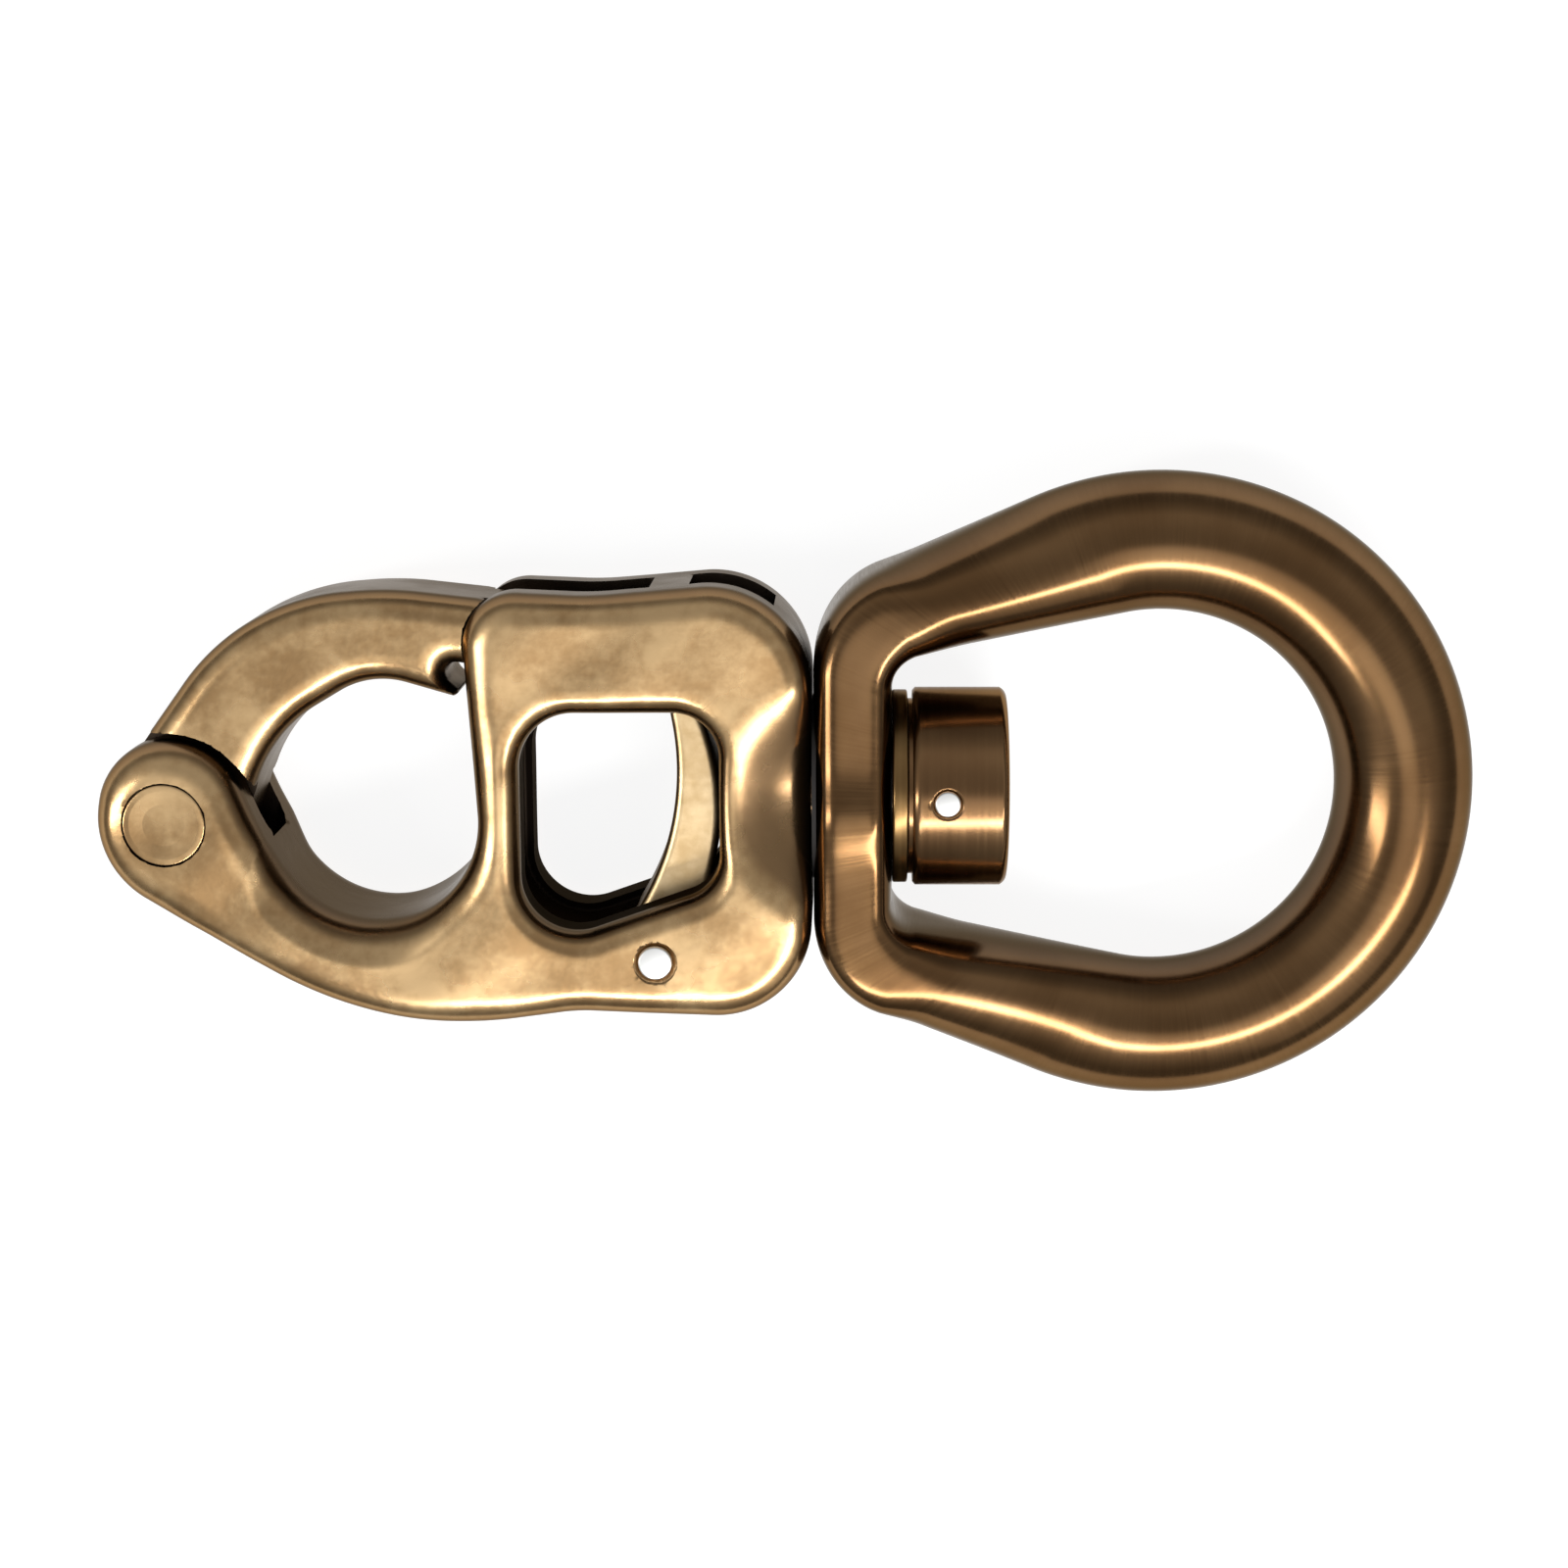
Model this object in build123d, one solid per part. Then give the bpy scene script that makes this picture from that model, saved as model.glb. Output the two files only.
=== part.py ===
"""Trigger snap shackle with a large swivelling bail.

The shackle lies on its back face.  +X runs from the nose to the bail, along the load line.
+Y is the side of the jaw, and +Z points up.  The origin is on the floor, below the middle of
the overall length, on the load line.  Each piece is drawn with the body's shoulder at X = 0
and the load line at Y = 0, Z = 0, and set_in_frame() puts it in the part's own frame.  Millimetres.
"""
from build123d import *
import math
import os

os.makedirs("parts", exist_ok=True)

# ---------------------------------------------------------------- clearances
hinge_clearance = 0.05        # radial, pin in a turning bore
shaft_clearance = 0.06        # radial, swivel shaft in its bush
press_allowance = 0.01        # radial, pin or bush fixed in its bore
slot_clearance = 0.20         # each side of a lever in the body slot
face_clearance = 0.05         # axial, between the swivel faces
edge_gap = 0.35               # between the jaw and the cheek that it closes against
latch_gap = 0.25              # between the jaw's tail and the trigger's hook

# ---------------------------------------------------------------- body casting
body_thickness = 19.6
body_edge_radius = 2.4        # rolled outer edges
nose_to_shoulder = 61.5       # nose pin to the shoulder face, along the load line
nose_offset = -2.0            # nose pin to the load line
ear_radius = 7.0              # top of the ears
ear_x = 0.2                   # centre of the ears' top, from the nose pin
ear_y = 0.8
nose_tip_radius = 9.0         # blunter curve round the nose and under the ears
nose_tip_angle = -23.0        # from the ears' centre to the nose tip's
slot_width = 8.0              # between the two cheeks and the two ears
slot_end_radius = 9.3         # of the ear slot, about the nose pin
cheek_top = 20.5
cheek_bottom = 21.3
top_corner_radius = 9.8
bottom_corner_radius = 9.2
belly_radius = 36.0
belly_depth = 21.9            # lowest point of the hook, below the load line
belly_to_shoulder = 33.6
waist_radius = 18.0           # shallow hollow under the window
waist_depth = 20.8
waist_to_shoulder = 21.8
saddle_radius = 30.0          # shallow hollow in the top edge
saddle_height = 19.65
saddle_to_shoulder = 21.5
entry_corner_radius = 5.0     # cheek corner where the jaw closes
entry_to_shoulder = 33.0      # left edge of the cheeks
entry_top = 19.9
eye_radius = 10.15            # cheek side and foot of the jaw eye
eye_to_shoulder = 42.1
eye_offset = -2.0
hook_radius = 20.1            # flatter curve of the eye along the hook
hook_to_shoulder = 35.2
hook_offset = 6.6
belt_slack = 0.05             # least straight run's room between two curves that touch

# window for a finger or a spike
window_left = 27.9            # distances from the shoulder
window_right = 8.8
window_top = 8.5
window_bottom = -12.8
window_left_radius = 5.4
window_right_radius = 4.4
window_toe_rise = 3.2         # the lower right corner sits this much higher
window_rim_radius = 1.6
window_groove = 1.9           # depth of the slot that runs round the window

# slots in the top edge, above the latch
bridge_left = 15.5            # distances from the shoulder
bridge_right = 11.7
bridge_depth = 2.6
rear_slot_end = 3.7
rear_slot_fall = 5.0          # its floor slopes down to the chamber's end wall
cut_overrun = 5.0             # of the cutters past the metal's edges
chamber_wall = 5.6            # between the trigger's chamber and the shoulder, on the load line
chamber_wall_radius = 10.0
chamber_corner = 1.2
chamber_floor_gap = 0.9       # under the jaw's tail

# scoop beside the swivel neck
scoop_radius = 11.0
scoop_height = 8.0            # of the scoop's centre above the face
scoop_reach = 1.4             # of the scoop's centre past the shoulder
scoop_edge_radius = 2.2       # rolled edge where it meets the face

# ---------------------------------------------------------------- jaw
jaw_thickness = 14.0
jaw_edge_radius = 2.2
blunt_radius = 2.6            # low corner of the jaw's blank, trimmed off later
tongue_radius = 6.5           # round the nose pin, between the ears
jaw_shoulder_radius = 8.7     # where the jaw gets thicker, about the nose pin
jaw_back_radius = 31.9        # outer curve over the eye
jaw_back_angle = -79.6        # from the rise's centre to the back's
jaw_rise_radius = 21.5        # outer curve beside the hinge
jaw_rise_x = 18.76            # its centre, from the nose pin
jaw_rise_y = 0.28
jaw_nape_radius = 5.0         # corner hidden between the cheeks
jaw_nape_x = 33.5             # its centre, from the nose pin
jaw_nape_y = 15.65
jaw_throat_radius = 14.0      # inner curve beside the hinge
jaw_throat_x = 21.3           # its centre, from the nose pin
jaw_throat_y = -1.2
jaw_crown_radius = 8.1        # inner curve at the top of the eye
jaw_crown_x = 20.5
jaw_crown_y = 5.2
beak_radius = 0.4
beak_x = 27.2                 # beak tip, from the nose pin
beak_y = 12.1
notch_radius = 1.1            # relief between the beak and the cheek
notch_rise = 1.75
notch_shift = 0.35
tail_radius = 46.0            # tip of the tail, about the nose pin
tail_corner_radius = 0.8
tail_root_height = 14.85      # underside where it leaves the notch, above the nose pin
tail_tip_low = 12.6           # corners of the tail's end, above the nose pin
tail_tip_high = 15.6

# ---------------------------------------------------------------- pins
jaw_pin_radius = 3.0
jaw_pin_head_radius = 3.95
jaw_pin_head_depth = 1.8
head_groove = 0.15            # ring left round the head
head_set_in = 0.15            # head below the face of the ear
head_rim_radius = 0.35
trigger_pin_radius = 1.65
trigger_pin_x = 15.0          # from the shoulder
trigger_pin_y = -15.5
pin_countersink = 0.45

# ---------------------------------------------------------------- trigger
trigger_hub_radius = 3.9
trigger_back_radius = 24.1    # outer side of the curved blade
trigger_back_x = 33.0         # its centre, from the shoulder
trigger_back_y = -1.5
trigger_front_radius = 26.1   # side that the finger or spike presses
trigger_front_x = 39.2
trigger_front_y = 2.25
trigger_head_top = 16.9
trigger_head_x = 15.6
trigger_head_radius = 1.3
hook_tip_radius = 0.6
hook_root_radius = 0.8
hook_heel_height = 9.6        # underside of the hook, above the load line
trigger_edge = 0.5            # chamfer along the blade
trigger_travel = 8.0          # degrees
spring_wire = 0.8
spring_coils = 3
spring_leg = 6.0
spring_coil_gap = 0.096       # between its coils
spring_bend_swell = 0.02      # of the wire's radius where a leg leaves the coil
spring_gap = 0.3

# ---------------------------------------------------------------- swivel
shaft_radius = 5.2
bush_wall = 1.2
bush_flange = 0.40
bush_flange_radius = 9.0
washer_radius = 9.45
washer_thickness = 1.45
nut_radius = 9.7
nut_length = 9.6
nut_step = 0.45               # narrow face against the washer
nut_step_radius = 8.6
nut_inner_chamfer = 0.3
nut_outer_radius = 0.9
nut_recess_radius = 7.0
nut_recess_depth = 1.0
lock_pin_radius = 1.25
lock_pin_set = 3.7            # from the nut's inner face
lock_pin_sunk = 0.1

# ---------------------------------------------------------------- bail
bail_reach = 64.6             # shoulder to the far end of the bail
ring_outer_radius = 30.9
ring_section_radius = 6.7
base_thickness = 7.3
base_width = 19.5
base_square = 5.0             # exponent of the base's section, 2 is an ellipse
section_points = 16           # that set out each section
base_outer_corner = 10.5
base_inner_corner = 2.9
base_inner_half = 10.5        # flat inner face, from the load line to its corner
base_outer_half = 12.1
base_flat_share = 0.6         # of the half width that keeps the base's section
leg_outer_angle = 25.2        # slope of the legs' sides
leg_inner_angle = 10.8
corner_fall = 0.22            # share of the fall from base to ring height, at the corners' ends
corner_square = 4.0           # exponent of the section there

# ---------------------------------------------------------------- places that follow
body_half = body_thickness / 2
slot_half = slot_width / 2
lever_half = slot_half - slot_clearance
jaw_half = jaw_thickness / 2
nose = (-nose_to_shoulder, nose_offset)
ear_centre = (nose[0] + ear_x, nose[1] + ear_y)
tip_step = nose_tip_radius - ear_radius + belt_slack
nose_tip_centre = (ear_centre[0] + tip_step * math.cos(math.radians(nose_tip_angle)),
                   ear_centre[1] + tip_step * math.sin(math.radians(nose_tip_angle)))
trigger_pin_centre = (-trigger_pin_x, trigger_pin_y)
base_start = bush_flange + face_clearance
base_end = base_start + base_thickness
washer_start = base_end + face_clearance
nut_start = washer_start + washer_thickness + face_clearance
nut_end = nut_start + nut_length
ring_x = bail_reach - ring_outer_radius
nose_reach = nose_tip_radius - nose_tip_centre[0]
shoulder_x = (nose_reach - bail_reach) / 2
axis_height = max(body_half, base_width / 2)
bush_radius = shaft_radius + shaft_clearance + bush_wall


def span(first, second):
    """The straight run of the belt between two discs: its ends, its direction and its left normal."""
    reach = math.hypot(second[0] - first[0], second[1] - first[1])
    heading = math.atan2(second[1] - first[1], second[0] - first[0])
    heading -= math.asin((second[2] - first[2]) / reach)
    along = Vector(math.cos(heading), math.sin(heading))
    normal = Vector(-math.sin(heading), math.cos(heading))
    start = Vector(first[0], first[1]) - normal * first[2]
    end = Vector(second[0], second[1]) - normal * second[2]
    return start, end, along, normal


def belt(discs):
    """Closed outline of a belt laid round discs (x, y, radius), each arc tangent to the next line.

    The belt runs anticlockwise about a disc with a positive radius, which makes a convex corner,
    and clockwise about a disc with a negative radius, which makes a hollow.
    """
    spans = [span(first, second) for first, second in zip(discs, discs[1:] + discs[:1])]
    edges = []
    for index, (x, y, r) in enumerate(discs):
        arrive = spans[index - 1][1]
        leave = spans[index][0]
        start = math.atan2(arrive.Y - y, arrive.X - x)
        end = math.atan2(leave.Y - y, leave.X - x)
        turn = (end - start) % (2 * math.pi)
        if r < 0:
            turn -= 2 * math.pi
        middle = (x + abs(r) * math.cos(start + turn / 2), y + abs(r) * math.sin(start + turn / 2))
        edges.append(ThreePointArc(arrive, middle, leave))
        edges.append(Line(leave, spans[index][1]))
    return make_face(Wire(edges))


def disc_on_span(first, second, distance, radius):
    """A disc of the given radius that touches the run between two discs, this far along it."""
    start, _, along, normal = span(first, second)
    centre = start + along * distance + normal * radius
    return (centre.X, centre.Y, radius)


def slab(face, half):
    """A plate of the given outline, from -half to +half in Z."""
    return extrude(Pos(0, 0, -half) * face, amount=2 * half)


def disc(centre, radius, low, high):
    """An upright cylinder about a point of the plan."""
    return Pos(centre[0], centre[1], (low + high) / 2) * Cylinder(radius, high - low)


def turned(profile):
    """A piece turned about the swivel axis, from (x, radius) corners of its half section."""
    face = make_face(Polyline(*profile, close=True))
    return revolve(face, Axis.X)


def plan_box(left, right, low, high, half):
    """A block from corner to corner of the plan, centred in Z."""
    return Pos((left + right) / 2, (low + high) / 2, 0) * Box(right - left, high - low, 2 * half)


def edges_at(solid, height):
    """The edges that lie flat in the planes Z = height and Z = -height."""
    found = []
    for edge in solid.edges():
        box = edge.bounding_box()
        if abs(box.max.Z - box.min.Z) < 1e-4 and abs(abs(box.max.Z) - height) < 1e-4:
            found.append(edge)
    return found


def window_outline():
    """The window: a rounded four-sided opening with a raised toe on the trigger's side."""
    left = -window_left + window_left_radius
    right = -window_right - window_right_radius
    return belt([
        (left, window_top - window_left_radius, window_left_radius),
        (left, window_bottom + window_left_radius, window_left_radius),
        (right, window_bottom + window_toe_rise + window_right_radius, window_right_radius),
        (right, window_top - window_right_radius, window_right_radius),
    ])


def body_outline():
    """The casting in plan: ear, nose tip, long belly, shoulder block, cheek corner, and the eye's curves."""
    return belt([
        (ear_centre[0], ear_centre[1], ear_radius),
        (nose_tip_centre[0], nose_tip_centre[1], nose_tip_radius),
        (-belly_to_shoulder, belly_radius - belly_depth, belly_radius),
        (-waist_to_shoulder, -waist_depth - waist_radius, -waist_radius),
        (-bottom_corner_radius, bottom_corner_radius - cheek_bottom, bottom_corner_radius),
        (-top_corner_radius, cheek_top - top_corner_radius, top_corner_radius),
        (-saddle_to_shoulder, saddle_height + saddle_radius, -saddle_radius),
        (entry_corner_radius - entry_to_shoulder, entry_top - entry_corner_radius, entry_corner_radius),
        (-eye_to_shoulder, eye_offset, -eye_radius),
        (-hook_to_shoulder, hook_offset, -hook_radius),
    ])


def beside(centre, distance, height):
    """X of the point at this height that lies the given distance to the right of a centre."""
    return centre[0] + math.sqrt(distance ** 2 - (height - centre[1]) ** 2)


def trigger_outline():
    """The trigger: hub, curved blade and a head hooked over the jaw's tail."""
    front = (-trigger_front_x, trigger_front_y)
    hook_face = tail_radius + latch_gap
    round_tip = hook_face + hook_tip_radius + belt_slack
    tip_y = trigger_head_top - hook_tip_radius
    root_y = hook_heel_height - hook_tip_radius - hook_root_radius
    round_root = trigger_front_radius - hook_root_radius + belt_slack
    return belt([
        (trigger_pin_centre[0], trigger_pin_centre[1], trigger_hub_radius),
        (-trigger_back_x, trigger_back_y, trigger_back_radius),
        (-trigger_head_x, trigger_head_top - trigger_head_radius, trigger_head_radius),
        (beside(nose, round_tip, tip_y), tip_y, hook_tip_radius),
        (nose[0], nose[1], -hook_face),
        (beside(nose, round_tip, hook_heel_height), hook_heel_height, hook_tip_radius),
        (beside(front, round_root, root_y), root_y, -hook_root_radius),
        (front[0], front[1], -trigger_front_radius),
    ])


def jaw_discs():
    """Discs of the jaw's plan: tongue, throat, crown, beak, notch, two tail corners, nape, back and rise."""
    step = jaw_back_radius - jaw_rise_radius + belt_slack
    turn = math.radians(jaw_back_angle)
    rise = (nose[0] + jaw_rise_x, nose[1] + jaw_rise_y)
    tail_reach = tail_radius - tail_corner_radius
    low_y = tail_tip_low + tail_corner_radius
    high_y = tail_tip_high - tail_corner_radius
    return [
        (nose[0], nose[1], tongue_radius),
        (nose[0] + jaw_throat_x, nose[1] + jaw_throat_y, -jaw_throat_radius),
        (nose[0] + jaw_crown_x, nose[1] + jaw_crown_y, -jaw_crown_radius),
        (nose[0] + beak_x, nose[1] + beak_y, beak_radius),
        (nose[0] + beak_x + notch_shift, nose[1] + beak_y + notch_rise, -notch_radius),
        (nose[0] + math.sqrt(tail_reach ** 2 - low_y ** 2), nose[1] + low_y, tail_corner_radius),
        (nose[0] + math.sqrt(tail_reach ** 2 - high_y ** 2), nose[1] + high_y, tail_corner_radius),
        (nose[0] + jaw_nape_x, nose[1] + jaw_nape_y, jaw_nape_radius),
        (rise[0] + step * math.cos(turn), rise[1] + step * math.sin(turn), jaw_back_radius),
        (rise[0], rise[1], jaw_rise_radius),
    ]


def jaw_blank():
    """The thick part of the jaw before it is trimmed: as the jaw in plan, with a plain blunt end."""
    tongue, throat, crown, beak, _, _, _, nape, back, rise = jaw_discs()
    start, end, _, _ = span(crown, beak)
    low_corner = disc_on_span(crown, beak, (end - start).length + 2 * blunt_radius, blunt_radius)
    return belt([tongue, throat, crown, low_corner, nape, back, rise])


def make_body():
    """One casting: forked nose, hook, windowed body with the latch slot, and the swivel shaft."""
    casting = slab(body_outline(), body_half)
    casting = fillet(edges_at(casting, body_half), body_edge_radius)
    casting -= slab(window_outline(), body_half + 1)
    rims = [e for e in edges_at(casting, body_half) if -window_left - 1 < e.center().X < -window_right + 1
            and window_bottom - 1 < e.center().Y < window_top + 1]
    casting = fillet(rims, window_rim_radius)
    for side in (1, -1):
        centre = (scoop_reach, 0, side * (body_half + scoop_height))
        casting -= Pos(*centre) * Sphere(scoop_radius)
    balls = casting.faces().filter_by(GeomType.SPHERE)
    brims = [e for ball in balls for e in ball.edges() if abs(abs(e.center().Z) - body_half) < 0.01]
    casting = fillet(brims, scoop_edge_radius)
    shaft = turned([(-1.0, 0), (-1.0, shaft_radius), (nut_end - nut_recess_depth, shaft_radius),
                    (nut_end - nut_recess_depth, 0)])
    casting += shaft
    casting -= latch_slot()
    casting -= disc(nose, slot_end_radius, -slot_half, slot_half)
    casting -= disc(nose, jaw_pin_radius + press_allowance, -body_half - 1, body_half + 1)
    for side in (1, -1):
        floor = side * (body_half - jaw_pin_head_depth)
        top = side * (body_half + 1)
        casting -= disc(nose, jaw_pin_head_radius + head_groove, min(floor, top), max(floor, top))
    casting -= disc(trigger_pin_centre, trigger_pin_radius + press_allowance, -body_half - 1, body_half + 1)
    for side in (1, -1):
        casting -= countersink(side)
    casting -= lock_pin_shape(press_allowance, 1.0)
    return casting


def countersink(side):
    """The cone that breaks the edge of the trigger pin's bore on one face."""
    narrow = trigger_pin_radius + press_allowance
    height = pin_countersink + 1
    cone = Cone(narrow, narrow + height, height)
    centre = body_half - pin_countersink + height / 2
    flip = Rot(0, 0, 0) if side > 0 else Rot(180, 0, 0)
    return Pos(trigger_pin_centre[0], trigger_pin_centre[1], side * centre) * flip * cone


def latch_slot():
    """The slot between the cheeks: tail channel, trigger chamber and the groove round the window."""
    over = cheek_top + cut_overrun
    start = -entry_to_shoulder - cut_overrun
    under_bridge = cheek_top - bridge_depth
    floor_left = nose[1] + tail_root_height - chamber_floor_gap
    floor_right = hook_heel_height - chamber_floor_gap
    channel = make_face(Polyline(
        (start, floor_left), (-bridge_left, floor_right), (-bridge_left, over), (start, over), close=True))
    pocket_radius = trigger_hub_radius + spring_gap
    chamber = belt([
        (trigger_pin_centre[0], trigger_pin_centre[1], pocket_radius),
        (-chamber_wall - chamber_wall_radius, trigger_back_y, chamber_wall_radius),
        (-rear_slot_end - chamber_corner, under_bridge - chamber_corner, chamber_corner),
        (-bridge_left, under_bridge - chamber_corner, chamber_corner),
        (-bridge_left - chamber_corner, floor_right + chamber_corner, chamber_corner),
    ])
    slot_foot = under_bridge - chamber_corner
    rear = make_face(Polyline(
        (-bridge_right, slot_foot), (-rear_slot_end, slot_foot - rear_slot_fall),
        (-rear_slot_end, over), (-bridge_right, over), close=True))
    groove = offset(window_outline(), window_groove)
    cavity = slab(channel, slot_half) + slab(chamber, slot_half) + slab(rear, slot_half)
    cavity += slab(groove, slot_half)
    leg_y = trigger_pin_y - spring_mean_radius()
    leg_low = leg_y - spring_wire / 2 - slot_clearance
    leg_high = leg_y + spring_wire / 2 + spring_leg * math.radians(trigger_travel) + slot_clearance
    leg_end = trigger_pin_centre[0] - spring_leg - spring_gap
    cavity += plan_box(leg_end, trigger_pin_centre[0], leg_low, leg_high, slot_half)
    return cavity


def make_jaw():
    """One casting: the gate of the eye, thick outside the body and thin between ears and cheeks."""
    over = body_half
    thick = slab(jaw_blank(), jaw_half)
    thick = fillet(edges_at(thick, jaw_half), jaw_edge_radius)
    thick = thick & slab(belt(jaw_discs()), over)
    thick -= disc(nose, jaw_shoulder_radius, -over, over)
    thick -= slab(offset(body_outline(), edge_gap), over)
    jaw = thick + slab(belt(jaw_discs()), lever_half)
    jaw -= disc(nose, jaw_pin_radius + hinge_clearance, -over, over)
    return jaw


def make_jaw_pin():
    """A turned pin with a broad flat head at each end."""
    half = body_half - head_set_in
    neck = body_half - jaw_pin_head_depth + press_allowance
    pin = disc(nose, jaw_pin_radius, -half, half)
    for side in (1, -1):
        low = min(side * neck, side * half)
        high = max(side * neck, side * half)
        head = disc(nose, jaw_pin_head_radius, low, high)
        outer = [e for e in head.edges() if abs(e.center().Z - side * half) < 1e-4]
        pin += fillet(outer, head_rim_radius)
    return pin


def make_trigger():
    """One casting: a curved lever on the trigger pin, with a pocket for its spring."""
    trigger = slab(trigger_outline(), lever_half)
    trigger = chamfer(edges_at(trigger, lever_half), trigger_edge)
    trigger -= disc(trigger_pin_centre, trigger_pin_radius + hinge_clearance, -body_half, body_half)
    over = lever_half + 1
    seat = -lever_half + spring_wire + spring_height() + spring_gap
    trigger -= disc(trigger_pin_centre, trigger_hub_radius + slot_clearance, -over, seat)
    leg_x = trigger_pin_centre[0] + spring_mean_radius()
    room = spring_wire / 2 + slot_clearance
    leg_top = trigger_pin_y + spring_leg + spring_gap
    leg_groove = plan_box(leg_x - room, leg_x + room, trigger_pin_y, leg_top, (over + seat) / 2)
    trigger -= Pos(0, 0, (seat - over) / 2) * leg_groove
    return trigger


def spring_mean_radius():
    """Middle of the spring wire, from the trigger pin's axis."""
    return trigger_pin_radius + hinge_clearance + spring_gap + spring_wire / 2


def spring_height():
    """Rise of the spring wire from leg to leg."""
    return (spring_wire + spring_coil_gap) * (spring_coils + 0.25)


def make_spring():
    """A torsion spring round the trigger pin: one leg on the chamber floor, one in the trigger."""
    radius = spring_mean_radius()
    rise = spring_height()
    helix = Helix(spring_wire + spring_coil_gap, rise, radius)
    spring = sweep(Plane(origin=helix @ 0, z_dir=helix % 0) * Circle(spring_wire / 2), path=helix)
    bend = Sphere(spring_wire / 2 + spring_bend_swell)
    leg = bend + Pos(0, 0, -spring_leg / 2) * Cylinder(spring_wire / 2, spring_leg)
    spring += Pos(radius, 0, 0) * Rot(-90, 0, 0) * leg
    spring += Pos(0, radius, rise) * Rot(0, 90, 0) * leg
    low = -lever_half + spring_wire / 2
    return Pos(trigger_pin_centre[0], trigger_pin_centre[1], low) * Rot(0, 0, -90) * spring


def make_trigger_pin():
    """A plain dowel with slightly broken ends, flush with the cheeks."""
    pin = disc(trigger_pin_centre, trigger_pin_radius, -body_half + lock_pin_sunk, body_half - lock_pin_sunk)
    return chamfer(pin.edges().filter_by(GeomType.CIRCLE), 0.2)


def lock_pin_shape(grow, extra):
    """The cross pin through nut and shaft, or the hole for it."""
    half = nut_radius - lock_pin_sunk + extra
    centre = (nut_start + lock_pin_set, 0)
    return disc(centre, lock_pin_radius + grow, -half, half)


def make_bush():
    """A flanged plain bearing: its sleeve lines the bail's bore and its flange is the front washer."""
    bore = shaft_radius + shaft_clearance
    return turned([(face_clearance, bore), (base_end, bore), (base_end, bush_radius),
                   (base_start, bush_radius), (base_start, bush_flange_radius),
                   (face_clearance, bush_flange_radius)])


def make_washer():
    """A turned thrust washer between the bail's base and the nut."""
    bore = shaft_radius + shaft_clearance
    washer = turned([(washer_start, bore), (washer_start + washer_thickness, bore),
                     (washer_start + washer_thickness, washer_radius), (washer_start, washer_radius)])
    rim = [e for e in washer.edges().filter_by(GeomType.CIRCLE) if abs(e.radius - washer_radius) < 1e-4]
    return chamfer(rim, 0.2)


def make_nut():
    """A round nut screwed on the shaft, with a stepped inner face and a dished outer end."""
    bore = shaft_radius + press_allowance
    recess_floor = nut_end - nut_recess_depth
    nut = turned([
        (nut_start, bore), (recess_floor, bore), (recess_floor, nut_recess_radius),
        (nut_end, nut_recess_radius), (nut_end, nut_radius), (nut_start + nut_step, nut_radius),
        (nut_start + nut_step, nut_step_radius), (nut_start, nut_step_radius)])
    circles = nut.edges().filter_by(GeomType.CIRCLE)
    outer = [e for e in circles if abs(e.radius - nut_radius) < 1e-4]
    nut = fillet([e for e in outer if e.center().X > nut_end - 0.1], nut_outer_radius)
    circles = nut.edges().filter_by(GeomType.CIRCLE)
    inner = [e for e in circles if abs(e.radius - nut_radius) < 1e-4 and e.center().X < nut_start + 1]
    nut = chamfer(inner, nut_inner_chamfer)
    return nut - lock_pin_shape(press_allowance, 1.0)


def bail_section(inner, outer, half_width, square):
    """A closed section across the bail between two points of the plan: |u|^n + |v|^n = 1."""
    centre = Vector((inner[0] + outer[0]) / 2, (inner[1] + outer[1]) / 2, 0)
    across = Vector(outer[0] - inner[0], outer[1] - inner[1], 0)
    half = across.length / 2
    points = []
    for step in range(section_points):
        turn = 2 * math.pi * step / section_points
        c, s = math.cos(turn), math.sin(turn)
        reach = (abs(c) ** square + abs(s) ** square) ** (-1 / square)
        level = centre + across.normalized() * (half * reach * c)
        points.append(level + Vector(0, 0, half_width * reach * s))
    marks = [step / section_points for step in range(section_points + 1)]
    return Face(Wire([Edge.make_spline(points, periodic=True, parameters=marks)]))


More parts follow.
